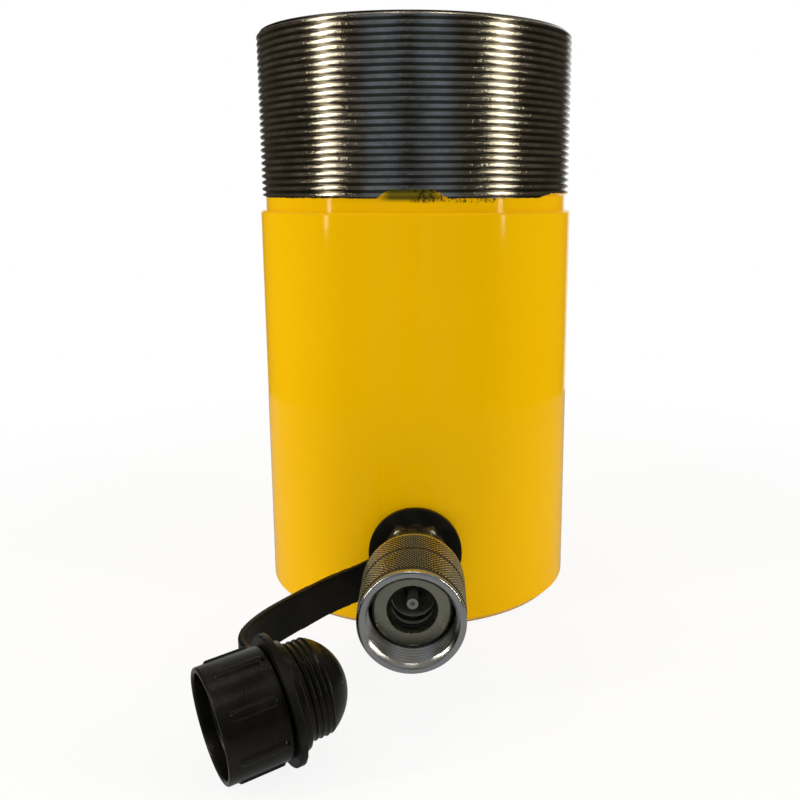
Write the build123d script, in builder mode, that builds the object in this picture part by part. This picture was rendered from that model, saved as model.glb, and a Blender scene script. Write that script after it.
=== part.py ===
from build123d import *
import os
from math import cos, pi, radians, sin

# Single acting, spring return cylinder with a threaded collar, a screw type female coupler and
# a tethered dust cap.
# Units are millimetres. +Z runs up the cylinder's axis from the middle of the base. The coupler points
# along -Y. Places along the coupler are distances from the cylinder's axis. Places along the dust cap
# start at its open mouth.

os.makedirs("parts", exist_ok=True)

# Clearances
fit_gap = 0.1
bearing_gap = 0.06
free_gap = 0.3

# Barrel
barrel_wall = 15.9
body_edge = 2.5
shoulder_edge = 0.8
collar_height = 67.7
collar_step = 0.75
neck_height = 5.1
neck_depth = 1.45
rim_edge = 1.3
collar_pitch = 2.5
collar_crest = 0.6
floor_z = 27.0
base_circle_d = 95.2
base_hole_d = 10.8
base_hole_depth = 19.0

# Port in the barrel's wall
port_z = 32.0
port_d = 17.2
port_depth = 12.8
port_passage_d = 6.0
spot_face_d = 27.0
spot_face_depth = 1.3

# Stop ring at the top of the bore
stop_ring_seat = 3.2
stop_ring_height = 36.0
stop_ring_drop = 0.8
stop_ring_bore_gap = 0.45
spanner_hole_d = 5.0
spanner_hole_depth = 5.0
spanner_hole_count = 4
bearing_height = 16.0
bearing_thickness = 2.4
bearing_lift = 4.0
bearing_slit = 1.6
wiper_height = 8.0
wiper_thickness = 3.9

# Ram
ram_d = 79.5
ram_shoulder = 7.85
stroke = 101.6
ram_rise = 0.8
ram_edge = 1.5
head_height = 59.8
head_relief_depth = 4.1
head_relief_height = 14.0
wear_ring_rise = 17.2
wear_ring_height = 12.0
wear_ring_thickness = 3.0
seal_land = 3.5
cup_height = 8.8
backup_height = 3.2
seal_thickness = 6.5
spring_bore_d = 54.0
web_thickness = 10.0
stem_hole_d = 28.0
stem_hole_depth = 28.8

# Saddle
saddle_border = 4.15
saddle_seat_depth = 6.0
saddle_rise = 2.0
saddle_edge = 1.2
saddle_stem_play = 1.4
saddle_stem_length = 11.3
saddle_grooves = 5
saddle_groove_border = 4.35
saddle_groove_depth = 1.2
saddle_hole_d = 8.5
saddle_hole_depth = 9.0
snap_ring_drop = 7.0
snap_ring_height = 1.4
snap_ring_width = 3.3
snap_ring_opening = 5.0

# Return spring and its anchors
spring_side_gap = 3.0
spring_wire_d = 6.0
spring_pitch = 11.4
wire_sides = 6
wire_steps_per_turn = 14
anchor_height = 26.0
anchor_screw_d = 10.0
anchor_screw_head_d = 16.0
anchor_screw_head_height = 10.0
anchor_screw_grip = 14.0
anchor_socket_depth = 5.0
anchor_socket_width = 8.0

# Coupler adapter
hexagon_width = 24.0
hexagon_length = 8.4
spigot_d = 16.0
spigot_length = 10.4
adapter_bore_d = 6.0
adapter_seat_d = 10.0
adapter_seat_depth = 8.0

# Coupler nose
nose_d = 26.2
nose_length = 39.0
nose_edge = 0.6
nose_mouth_d = 16.8
nose_mouth_depth = 2.1
nose_bore_d = 15.2
nose_bore_depth = 10.6
chamber_d = 12.4
throat_d = 5.8
throat_length = 0.6
seat_cone_length = 3.6
mouth_cone_d = 14.4
mouth_cone_length = 3.8
seal_groove_d = 18.4
seal_groove_inset = 3.0
seal_groove_length = 4.2
o_ring_wire_d = 2.1
o_ring_squeeze = 0.05
o_ring_sides = 12
port_backup_length = 1.4
port_backup_bore_d = 14.7

# Coupler sleeve
sleeve_length = 48.1
sleeve_lip_height = 1.3
sleeve_lip_length = 7.4
sleeve_rear_wall = 1.9
sleeve_wall = 3.5
sleeve_smooth_drop = 0.5
sleeve_groove_depth = 0.7
sleeve_groove_width = 1.1
sleeve_groove_slope = 0.3
sleeve_band_drop = 0.3
sleeve_band_length = 2.3
knurl_front_length = 14.9
knurl_rear_length = 12.2
sleeve_relief_length = 2.2
sleeve_relief_depth = 1.1
sleeve_thread_gap = 1.2
sleeve_thread_length = 22.3
sleeve_mouth_flare = 1.0
sleeve_mouth_depth = 1.2
sleeve_edge = 0.6

# Poppet
pin_d = 3.8
pin_inset = 4.6
pin_mark_d = 1.6
pin_mark_depth = 0.5
poppet_side_gap = 0.7
poppet_head_length = 3.5
poppet_stem_gap = 0.8
poppet_stem_length = 17.0
poppet_seat_gap = 0.42
poppet_spring_wire_d = 1.0
poppet_spring_side_gap = 0.6
poppet_spring_pitch = 3.0

# Dust cap, and the way from its mouth to its dome
cap_heading = 29.1
cap_rise = 6.9
cup_d = 34.0
cup_wall = 1.7
cup_length = 19.2
cup_depth = 17.2
cup_edge = 0.7
rib_count = 8
rib_width = 3.0
rib_height = 0.7
rib_start = 3.4
rib_end = 17.6
rib_turn = 12.0
cap_groove_d = 25.0
cap_collar_d = 33.0
cap_collar_length = 2.6
plug_d = 28.4
plug_end = 33.4
dome_start_d = 28.0
dome_end = 41.4

# Strap: the large eye, the band, and the small eye that stands on the ground with the cap in it
ring_d = 35.0
ring_thickness = 2.6
ring_gap = 0.7
strap_width = 14.0
strap_thickness = 2.3
strap_hole_d = 3.6
strap_hole_reach = 21.0
strap_slope = 32.0
eye_d = 39.4
eye_thickness = 2.4
eye_offset = 20.9
eye_x = -38.4
eye_reach = 81.9
eye_ground_gap = 0.06

# Stations of the band: place of its middle, heading in plan and downward slope, both in degrees.
# The first places are from the middle of the large eye, the others from the middle of the small eye.
first_stations = [
    ((-12.5, 0.1, -7.8), 180, 32),
    ((-18.0, -0.1, -10.7), 186, 26),
]
last_stations = [
    ((13.9, 79.5, -0.1), 214, 10),
    ((6.9, 72.0, -0.2), 234, 0),
    ((-3.1, 56.8, 0.3), 237, 0),
    ((-11.4, 43.0, 0.4), 242, 0),
    ((-15.0, 33.4, 0.3), 257, 0),
    ((-15.5, 25.1, 0.1), 276, 0),
    ((-12.2, 19.2, 0.0), 300, 0),
    ((-9.2, 15.6, 0.0), 308, 0),
]

# Places and diameters up the cylinder that follow from the sizes above
bore_d = ram_d + 2 * ram_shoulder
body_d = bore_d + 2 * barrel_wall
ram_bottom_z = floor_z + free_gap
head_top_z = ram_bottom_z + head_height
stop_ring_z = head_top_z + stroke + free_gap
rim_z = stop_ring_z + stop_ring_height
shoulder_z = rim_z - collar_height
collar_d = body_d - 2 * collar_step
neck_d = collar_d - 2 * neck_depth
stop_ring_d = bore_d + 2 * stop_ring_seat
stop_ring_top_z = rim_z - stop_ring_drop
ram_top_z = rim_z + ram_rise
head_r = bore_d / 2 - free_gap
head_relief_d = bore_d - 2 * head_relief_depth
wear_ring_z = ram_bottom_z + wear_ring_rise
seal_z = wear_ring_z + wear_ring_height + seal_land
stem_floor_z = ram_top_z - stem_hole_depth
web_z = stem_floor_z - web_thickness
saddle_d = ram_d - 2 * saddle_border
saddle_seat_z = ram_top_z - saddle_seat_depth
saddle_top_z = ram_top_z + saddle_rise
saddle_stem_d = stem_hole_d - 2 * saddle_stem_play
saddle_groove_pitch = ((saddle_d - saddle_hole_d) / 2 - saddle_groove_border) / saddle_grooves
snap_ring_z = saddle_seat_z - snap_ring_drop
spring_mean_d = spring_bore_d - spring_wire_d - 2 * spring_side_gap

# Places along the coupler, as distances from the cylinder's axis, and diameters that follow
port_end_l = body_d / 2 - port_depth
spot_face_l = body_d / 2 - spot_face_depth
stem_d = port_d - 2 * fit_gap
stem_start_l = port_end_l + 2 * fit_gap
ring_l = body_d / 2 + ring_gap + ring_thickness / 2
hexagon_l = ring_l + ring_thickness / 2 + free_gap + fit_gap
hexagon_end_l = hexagon_l + hexagon_length
sleeve_rear_l = hexagon_end_l + 2 * free_gap
sleeve_end_l = sleeve_rear_l + sleeve_length
sleeve_band_l = sleeve_end_l - sleeve_band_length
front_knurl_end_l = sleeve_band_l - sleeve_groove_width
front_knurl_l = front_knurl_end_l - knurl_front_length
rear_knurl_end_l = front_knurl_l - sleeve_groove_slope - sleeve_groove_width
rear_knurl_l = rear_knurl_end_l - knurl_rear_length
nose_flange_l = sleeve_rear_l + sleeve_lip_length + free_gap + fit_gap
nose_end_l = hexagon_end_l + nose_length
nose_bore_l = nose_end_l - nose_bore_depth
sleeve_lip_d = nose_d - 2 * sleeve_lip_height
sleeve_rear_d = sleeve_lip_d + 2 * sleeve_rear_wall
sleeve_thread_d = nose_d + 2 * sleeve_thread_gap
sleeve_relief_d = sleeve_thread_d + 2 * sleeve_relief_depth
sleeve_mouth_d = sleeve_thread_d + 2 * sleeve_mouth_flare
sleeve_knurl_d = sleeve_thread_d + 2 * sleeve_wall
sleeve_smooth_d = sleeve_knurl_d - 2 * sleeve_smooth_drop
sleeve_groove_d = sleeve_knurl_d - 2 * sleeve_groove_depth
sleeve_band_d = sleeve_knurl_d - 2 * sleeve_band_drop
neck_behind_nose_d = sleeve_lip_d - 2 * (free_gap + fit_gap)
sleeve_cavity_d = nose_d + 2 * (free_gap + fit_gap)
poppet_d = chamber_d - 2 * poppet_side_gap
poppet_stem_d = adapter_bore_d - 2 * poppet_stem_gap
poppet_spring_mean_d = adapter_seat_d - poppet_spring_wire_d - 2 * poppet_spring_side_gap

# Frames of the coupler, the small eye and the dust cap
cap_way = Vector(
    cos(radians(cap_rise)) * cos(radians(cap_heading)),
    cos(radians(cap_rise)) * sin(radians(cap_heading)),
    sin(radians(cap_rise)),
)
eye_z = eye_d / 2 * cos(radians(cap_rise)) + eye_thickness / 2 * sin(radians(cap_rise)) + eye_ground_gap
ring_middle = Vector(0, -ring_l, port_z)
eye_middle = Vector(eye_x, -ring_l - eye_reach, eye_z)
cap_base = Plane(origin=eye_middle - cap_way * eye_offset, z_dir=cap_way)
coupler_base = Plane(origin=(0, 0, port_z), x_dir=(1, 0, 0), z_dir=(0, -1, 0))


def cut_plane(base):
    """Returns the plane for a section whose points are (radius, place along the base plane's normal)."""
    return Plane(origin=base.origin, x_dir=base.x_dir, z_dir=-base.y_dir)


def turning_axis(base):
    """Returns the axis along the base plane's normal."""
    return Axis(base.origin, base.z_dir)


def section(points, base=Plane.XY):
    """Returns the flat face inside straight lines through (radius, place) points."""
    with BuildSketch(cut_plane(base)) as face:
        with BuildLine():
            Polyline(*points, close=True)
        make_face()
    return face.sketch


def band(inner_d, outer_d, start, end):
    """Returns the section points of a plain ring."""
    return [(inner_d / 2, start), (outer_d / 2, start), (outer_d / 2, end), (inner_d / 2, end)]


def along(base, place):
    """Returns the base plane moved along its own normal."""
    return base.offset(place)


# Barrel, base and collar in one piece. The collar's thread is cut as rings, which don't climb.
collar_r = collar_d / 2
thread_z = shoulder_z + neck_height
thread_flank = (collar_pitch - collar_crest) / 2
thread_turns = int((rim_z - rim_edge - thread_flank - thread_z) / collar_pitch)
thread_points = []
for turn in range(thread_turns):
    root_z = thread_z + turn * collar_pitch
    thread_points.append((neck_d / 2, root_z))
    thread_points.append((collar_r, root_z + thread_flank))
    thread_points.append((collar_r, root_z + thread_flank + collar_crest))
last_root_z = thread_z + thread_turns * collar_pitch

with BuildPart() as cylinder_body:
    revolve(
        section(
            [
                (0, 0),
                (body_d / 2 - body_edge, 0),
                (body_d / 2, body_edge),
                (body_d / 2, shoulder_z - shoulder_edge),
                (body_d / 2 - shoulder_edge, shoulder_z),
                (neck_d / 2, shoulder_z),
                *thread_points,
                (neck_d / 2, last_root_z),
                (collar_r, last_root_z + thread_flank),
                (collar_r, rim_z - rim_edge),
                (collar_r - rim_edge, rim_z),
                (stop_ring_d / 2, rim_z),
                (stop_ring_d / 2, stop_ring_z),
                (bore_d / 2, stop_ring_z),
                (bore_d / 2, floor_z),
                (0, floor_z),
            ]
        ),
        axis=Axis.Z,
    )
    with BuildSketch(Plane.XY) as base_holes:
        with PolarLocations(base_circle_d / 2, 2):
            Circle(base_hole_d / 2)
    extrude(amount=base_hole_depth, mode=Mode.SUBTRACT)
    with BuildSketch(Plane.XY.offset(floor_z)) as anchor_hole:
        Circle(anchor_screw_d / 2 + fit_gap)
    extrude(amount=-anchor_screw_grip - free_gap, mode=Mode.SUBTRACT)
    with BuildSketch(along(coupler_base, body_d / 2)) as spot_face:
        Circle(spot_face_d / 2)
    extrude(amount=spot_face_l - body_d / 2, mode=Mode.SUBTRACT)
    with BuildSketch(along(coupler_base, spot_face_l)) as port_thread:
        Circle(port_d / 2)
    extrude(amount=port_end_l - spot_face_l, mode=Mode.SUBTRACT)
    with BuildSketch(along(coupler_base, port_end_l)) as port_passage:
        Circle(port_passage_d / 2)
    extrude(amount=bore_d / 2 - stop_ring_seat - port_end_l, mode=Mode.SUBTRACT)
cylinder_body.part.label = "cylinder_body"

# Stop ring, its bearing strip and its wiper
stop_bore_d = ram_d + 2 * stop_ring_bore_gap
bearing_z = stop_ring_z + bearing_lift
bearing_d = ram_d + 2 * bearing_gap + 2 * bearing_thickness
wiper_z = stop_ring_top_z - wiper_height
wiper_bore_d = ram_d + 2 * free_gap
wiper_d = wiper_bore_d + 2 * wiper_thickness
with BuildPart() as stop_ring:
    revolve(
        section(
            [
                (stop_bore_d / 2, stop_ring_z),
                (stop_ring_d / 2 - fit_gap, stop_ring_z),
                (stop_ring_d / 2 - fit_gap, stop_ring_top_z),
                (wiper_d / 2 + fit_gap, stop_ring_top_z),
                (wiper_d / 2 + fit_gap, wiper_z - fit_gap),
                (stop_bore_d / 2, wiper_z - fit_gap),
                (stop_bore_d / 2, bearing_z + bearing_height + fit_gap),
                (bearing_d / 2 + fit_gap, bearing_z + bearing_height + fit_gap),
                (bearing_d / 2 + fit_gap, bearing_z - fit_gap),
                (stop_bore_d / 2, bearing_z - fit_gap),
            ]
        ),
        axis=Axis.Z,
    )
    with BuildSketch(Plane.XY.offset(stop_ring_top_z)) as spanner_holes:
        with PolarLocations((stop_ring_d + wiper_d) / 4, spanner_hole_count, start_angle=45):
            Circle(spanner_hole_d / 2)
    extrude(amount=-spanner_hole_depth, mode=Mode.SUBTRACT)
stop_ring.part.label = "stop_ring"

with BuildPart() as guide_bearing:
    bearing_top_z = bearing_z + bearing_height
    revolve(section(band(ram_d + 2 * bearing_gap, bearing_d, bearing_z, bearing_top_z)), axis=Axis.Z)
    with BuildSketch(Plane.XY.offset(bearing_z)) as bearing_cut:
        with Locations((bearing_d / 2, 0)):
            Rectangle(4 * bearing_thickness, bearing_slit)
    extrude(amount=bearing_height, mode=Mode.SUBTRACT)
guide_bearing.part.label = "guide_bearing"

wiper_lip = wiper_thickness / 2
with BuildPart() as rod_wiper:
    revolve(
        section(
            [
                (wiper_bore_d / 2 + wiper_lip, wiper_z),
                (wiper_d / 2, wiper_z),
                (wiper_d / 2, stop_ring_top_z - free_gap),
                (wiper_bore_d / 2 + wiper_lip, stop_ring_top_z - free_gap),
                (wiper_bore_d / 2, stop_ring_top_z),
                (wiper_bore_d / 2, stop_ring_top_z - wiper_lip),
            ]
        ),
        axis=Axis.Z,
    )
rod_wiper.part.label = "rod_wiper"

# Ram: hollow from below, with its head at the bottom and the saddle's seat on top
wear_groove_r = head_r - wear_ring_thickness
seal_groove_r = head_r - seal_thickness
seal_top_z = seal_z + cup_height + backup_height
snap_groove_r = stem_hole_d / 2 + snap_ring_width / 2
with BuildPart() as plunger:
    revolve(
        section(
            [
                (spring_bore_d / 2, ram_bottom_z),
                (head_relief_d / 2, ram_bottom_z),
                (head_relief_d / 2, ram_bottom_z + head_relief_height),
                (head_r, ram_bottom_z + head_relief_height),
                (head_r, wear_ring_z - fit_gap),
                (wear_groove_r, wear_ring_z - fit_gap),
                (wear_groove_r, wear_ring_z + wear_ring_height + fit_gap),
                (head_r, wear_ring_z + wear_ring_height + fit_gap),
                (head_r, seal_z - fit_gap),
                (seal_groove_r, seal_z - fit_gap),
                (seal_groove_r, seal_top_z + 3 * fit_gap),
                (head_r, seal_top_z + 3 * fit_gap),
                (head_r, head_top_z - ram_edge),
                (head_r - ram_edge, head_top_z),
                (ram_d / 2, head_top_z),
                (ram_d / 2, ram_top_z - ram_edge),
                (ram_d / 2 - ram_edge, ram_top_z),
                (saddle_d / 2 + free_gap, ram_top_z),
                (saddle_d / 2 + free_gap, saddle_seat_z),
                (stem_hole_d / 2, saddle_seat_z),
                (stem_hole_d / 2, snap_ring_z + snap_ring_height + fit_gap),
                (snap_groove_r + free_gap, snap_ring_z + snap_ring_height + fit_gap),
                (snap_groove_r + free_gap, snap_ring_z - fit_gap),
                (stem_hole_d / 2, snap_ring_z - fit_gap),
                (stem_hole_d / 2, stem_floor_z),
                (anchor_screw_d / 2 + free_gap, stem_floor_z),
                (anchor_screw_d / 2 + free_gap, web_z),
                (spring_bore_d / 2, web_z),
            ]
        ),
        axis=Axis.Z,
    )
plunger.part.label = "plunger"

with BuildPart() as piston_wear_ring:
    revolve(
        section(
            band(
                2 * (wear_groove_r + fit_gap),
                bore_d - 2 * bearing_gap,
                wear_ring_z,
                wear_ring_z + wear_ring_height,
            )
        ),
        axis=Axis.Z,
    )
    with BuildSketch(Plane.XY.offset(wear_ring_z)) as wear_ring_cut:
        with Locations((bore_d / 2, 0)):
            Rectangle(4 * wear_ring_thickness, bearing_slit)
    extrude(amount=wear_ring_height, mode=Mode.SUBTRACT)
piston_wear_ring.part.label = "piston_wear_ring"

cup_middle_r = (seal_groove_r + head_r) / 2
cup_mouth = seal_thickness / 4
with BuildPart() as piston_u_cup:
    revolve(
        section(
            [
                (seal_groove_r + fit_gap, seal_z + cup_height),
                (seal_groove_r + fit_gap, seal_z),
                (cup_middle_r - cup_mouth, seal_z),
                (cup_middle_r, seal_z + cup_height / 2),
                (cup_middle_r + cup_mouth, seal_z),
                (head_r, seal_z),
                (head_r, seal_z + cup_height),
            ]
        ),
        axis=Axis.Z,
    )
piston_u_cup.part.label = "piston_u_cup"

with BuildPart() as piston_backup_ring:
    revolve(
        section(
            band(
                2 * (seal_groove_r + fit_gap),
                2 * head_r,
                seal_z + cup_height + fit_gap,
                seal_z + cup_height + backup_height + fit_gap,
            )
        ),
        axis=Axis.Z,
    )
piston_backup_ring.part.label = "piston_backup_ring"

# Saddle with rings of grooves on its face, and the open ring that holds its stem
saddle_stem_z = saddle_seat_z - saddle_stem_length
stem_groove_r = snap_groove_r - snap_ring_width
groove_half = saddle_groove_pitch / 4
with BuildPart() as saddle:
    revolve(
        section(
            [
                (0, saddle_stem_z),
                (saddle_stem_d / 2 - fit_gap * 8, saddle_stem_z),
                (saddle_stem_d / 2, saddle_stem_z + fit_gap * 8),
                (saddle_stem_d / 2, snap_ring_z - fit_gap),
                (stem_groove_r - free_gap, snap_ring_z - fit_gap),
                (stem_groove_r - free_gap, snap_ring_z + snap_ring_height + fit_gap),
                (saddle_stem_d / 2, snap_ring_z + snap_ring_height + fit_gap),
                (saddle_stem_d / 2, saddle_seat_z),
                (saddle_d / 2, saddle_seat_z),
                (saddle_d / 2, saddle_top_z - saddle_edge),
                (saddle_d / 2 - saddle_edge, saddle_top_z),
                (0, saddle_top_z),
            ]
        ),
        axis=Axis.Z,
    )
    for number in range(1, saddle_grooves + 1):
        groove_r = saddle_hole_d / 2 + number * saddle_groove_pitch
        groove = section(
            [
                (groove_r - groove_half, saddle_top_z),
                (groove_r, saddle_top_z - saddle_groove_depth),
                (groove_r + groove_half, saddle_top_z),
            ]
        )
        revolve(groove, axis=Axis.Z, mode=Mode.SUBTRACT)
    with BuildSketch(Plane.XY.offset(saddle_top_z)) as saddle_hole:
        Circle(saddle_hole_d / 2)
    extrude(amount=-saddle_hole_depth, mode=Mode.SUBTRACT)
saddle.part.label = "saddle"

with BuildPart() as saddle_retaining_ring:
    revolve(
        section(band(2 * stem_groove_r, 2 * snap_groove_r, snap_ring_z, snap_ring_z + snap_ring_height)),
        axis=Axis.Z,
    )
    with BuildSketch(Plane.XY.offset(snap_ring_z)) as snap_ring_cut:
        with Locations((snap_groove_r, 0)):
            Rectangle(3 * snap_ring_width, snap_ring_opening)
    extrude(amount=snap_ring_height, mode=Mode.SUBTRACT)
saddle_retaining_ring.part.label = "saddle_retaining_ring"


def coil_sections(mean_d, wire_d, pitch, start, end, base):
    """Returns the sections of a coil's wire, each square to the wire, along the base plane's normal."""
    turns = (end - start) / pitch
    step_count = round(turns * wire_steps_per_turn)
    sections = []
    for number in range(step_count + 1):
        angle = 2 * pi * turns * number / step_count
        outward = base.x_dir * cos(angle) + base.y_dir * sin(angle)
        around = base.y_dir * cos(angle) - base.x_dir * sin(angle)
        place = start + (end - start) * number / step_count
        middle = base.origin + outward * mean_d / 2 + base.z_dir * place
        way = around * pi * mean_d + base.z_dir * pitch
        with BuildSketch(Plane(origin=middle, x_dir=outward, z_dir=way)) as wire:
            RegularPolygon(wire_d / 2, wire_sides, rotation=180 / wire_sides)
        sections.append(wire.sketch)
    return sections


# Return spring and the two plugs that hold it
spring_start_z = ram_bottom_z + spring_wire_d / 2
spring_end_z = web_z - free_gap - spring_wire_d / 2
with BuildPart() as return_spring:
    loft(
        coil_sections(spring_mean_d, spring_wire_d, spring_pitch, spring_start_z, spring_end_z, Plane.XY),
        ruled=True,
    )
return_spring.part.label = "return_spring"

spring_inner_d = spring_mean_d - spring_wire_d
anchor_d = spring_inner_d - 2 * free_gap
with BuildPart() as lower_spring_anchor:
    revolve(
        section(
            [
                (anchor_screw_d / 2 + free_gap, floor_z),
                (anchor_d / 2, floor_z),
                (anchor_d / 2, floor_z + anchor_height - ram_edge),
                (anchor_d / 2 - ram_edge, floor_z + anchor_height),
                (anchor_screw_head_d / 2 + free_gap, floor_z + anchor_height),
                (anchor_screw_head_d / 2 + free_gap, floor_z + anchor_screw_grip),
                (anchor_screw_d / 2 + free_gap, floor_z + anchor_screw_grip),
            ]
        ),
        axis=Axis.Z,
    )
lower_spring_anchor.part.label = "lower_spring_anchor"

upper_hole_z = web_z - anchor_screw_grip - free_gap
with BuildPart() as upper_spring_anchor:
    revolve(
        section(
            [
                (0, web_z - anchor_height),
                (anchor_d / 2 - ram_edge, web_z - anchor_height),
                (anchor_d / 2, web_z - anchor_height + ram_edge),
                (anchor_d / 2, web_z),
                (anchor_screw_d / 2 + fit_gap, web_z),
                (anchor_screw_d / 2 + fit_gap, upper_hole_z),
                (0, upper_hole_z),
            ]
        ),
        axis=Axis.Z,
    )
upper_spring_anchor.part.label = "upper_spring_anchor"


def socket_screw(seat_z, shank_length):
    """Returns a socket head screw whose head sits on seat_z with its shank below."""
    with BuildPart() as screw:
        with BuildSketch(Plane.XY.offset(seat_z)) as head:
            Circle(anchor_screw_head_d / 2)
        extrude(amount=anchor_screw_head_height)
        with BuildSketch(Plane.XY.offset(seat_z)) as shank:
            Circle(anchor_screw_d / 2)
        extrude(amount=-shank_length)
        with BuildSketch(Plane.XY.offset(seat_z + anchor_screw_head_height)) as socket:
            RegularPolygon(anchor_socket_width / 2, 6, major_radius=False)
        extrude(amount=-anchor_socket_depth, mode=Mode.SUBTRACT)
    return screw.part


lower_anchor_screw = socket_screw(floor_z + anchor_screw_grip, 2 * anchor_screw_grip)
lower_anchor_screw.label = "lower_anchor_screw"
upper_anchor_screw = socket_screw(stem_floor_z, web_thickness + anchor_screw_grip)
upper_anchor_screw.label = "upper_anchor_screw"

# Coupler adapter: pipe thread, hexagon, and the spigot that screws into the nose
coupler_axis = turning_axis(coupler_base)
with BuildPart() as coupler_adapter:
    with BuildSketch(along(coupler_base, hexagon_l)) as hexagon:
        RegularPolygon(hexagon_width / 2, 6, major_radius=False)
    extrude(amount=hexagon_length)
    hexagon_corner_r = hexagon_width / 2 / cos(radians(30))
    corner_drop = hexagon_corner_r - hexagon_width / 2
    hexagon_crown = section(
        [
            (0, hexagon_l),
            (hexagon_width / 2, hexagon_l),
            (hexagon_corner_r, hexagon_l + corner_drop),
            (hexagon_corner_r, hexagon_end_l - corner_drop),
            (hexagon_width / 2, hexagon_end_l),
            (0, hexagon_end_l),
        ],
        coupler_base,
    )
    revolve(hexagon_crown, axis=coupler_axis, mode=Mode.INTERSECT)
    revolve(section(band(0, stem_d, stem_start_l, hexagon_l), coupler_base), axis=coupler_axis)
    spigot_end_l = hexagon_end_l + spigot_length
    revolve(section(band(0, spigot_d, hexagon_end_l, spigot_end_l), coupler_base), axis=coupler_axis)
    revolve(
        section(band(0, adapter_bore_d, stem_start_l, spigot_end_l), coupler_base),
        axis=coupler_axis,
        mode=Mode.SUBTRACT,
    )
    revolve(
        section(band(0, adapter_seat_d, spigot_end_l - adapter_seat_depth, spigot_end_l), coupler_base),
        axis=coupler_axis,
        mode=Mode.SUBTRACT,
    )
coupler_adapter.part.label = "coupler_adapter"

# Coupler nose with its valve chamber, conical seat and seal bore
throat_end_l = nose_bore_l - mouth_cone_length
throat_l = throat_end_l - throat_length
seat_cone_l = throat_l - seat_cone_length
spigot_hole_end_l = spigot_end_l + free_gap
groove_end_l = nose_end_l - seal_groove_inset
seal_groove_l = groove_end_l - seal_groove_length
with BuildPart() as coupler_body:
    revolve(
        section(
            [
                (spigot_d / 2 + fit_gap, hexagon_end_l),
                (neck_behind_nose_d / 2, hexagon_end_l),
                (neck_behind_nose_d / 2, nose_flange_l),
                (nose_d / 2, nose_flange_l),
                (nose_d / 2, nose_end_l - nose_edge),
                (nose_d / 2 - nose_edge, nose_end_l),
                (nose_mouth_d / 2, nose_end_l),
                (nose_bore_d / 2, nose_end_l - nose_mouth_depth),
                (nose_bore_d / 2, groove_end_l),
                (seal_groove_d / 2, groove_end_l),
                (seal_groove_d / 2, seal_groove_l),
                (nose_bore_d / 2, seal_groove_l),
                (nose_bore_d / 2, nose_bore_l),
                (mouth_cone_d / 2, nose_bore_l),
                (throat_d / 2, throat_end_l),
                (throat_d / 2, throat_l),
                (chamber_d / 2, seat_cone_l),
                (chamber_d / 2, spigot_hole_end_l),
                (spigot_d / 2 + fit_gap, spigot_hole_end_l),
            ],
            coupler_base,
        ),
        axis=coupler_axis,
    )
coupler_body.part.label = "coupler_body"

o_ring_r = seal_groove_d / 2 - o_ring_squeeze - o_ring_wire_d / 2
o_ring_l = groove_end_l - free_gap / 2 - o_ring_wire_d / 2
with BuildPart() as coupler_o_ring:
    with BuildSketch(cut_plane(coupler_base)) as o_ring_wire:
        with Locations((o_ring_r, o_ring_l)):
            RegularPolygon(o_ring_wire_d / 2, o_ring_sides)
    revolve(axis=coupler_axis)
coupler_o_ring.part.label = "coupler_o_ring"

with BuildPart() as coupler_backup_ring:
    revolve(
        section(
            band(
                port_backup_bore_d,
                seal_groove_d - fit_gap,
                seal_groove_l + fit_gap,
                seal_groove_l + fit_gap + port_backup_length,
            ),
            coupler_base,
        ),
        axis=coupler_axis,
    )
coupler_backup_ring.part.label = "coupler_backup_ring"

# Poppet: a pin through the throat, a cone behind the seat, and a stem in the adapter's bore
cone_slope = seat_cone_length / ((chamber_d - throat_d) / 2)
cone_front_l = throat_l - poppet_seat_gap + (throat_d - pin_d) / 2 * cone_slope
cone_rear_l = cone_front_l - (poppet_d - pin_d) / 2 * cone_slope
poppet_back_l = cone_rear_l - poppet_head_length
poppet_stem_end_l = poppet_back_l - poppet_stem_length
pin_end_l = nose_end_l - pin_inset
with BuildPart() as coupler_poppet:
    revolve(
        section(
            [
                (0, poppet_stem_end_l),
                (poppet_stem_d / 2, poppet_stem_end_l),
                (poppet_stem_d / 2, poppet_back_l),
                (poppet_d / 2, poppet_back_l),
                (poppet_d / 2, cone_rear_l),
                (pin_d / 2, cone_front_l),
                (pin_d / 2, pin_end_l),
                (pin_mark_d / 2, pin_end_l),
                (0, pin_end_l - pin_mark_depth),
            ],
            coupler_base,
        ),
        axis=coupler_axis,
    )
coupler_poppet.part.label = "coupler_poppet"

poppet_spring_start_l = spigot_end_l - adapter_seat_depth + poppet_spring_wire_d / 2 + fit_gap
poppet_spring_end_l = poppet_back_l - poppet_spring_wire_d / 2 - fit_gap
with BuildPart() as poppet_spring:
    loft(
        coil_sections(
            poppet_spring_mean_d,
            poppet_spring_wire_d,
            poppet_spring_pitch,
            poppet_spring_start_l,
            poppet_spring_end_l,
            coupler_base,
        ),
        ruled=True,
    )
poppet_spring.part.label = "poppet_spring"

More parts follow.
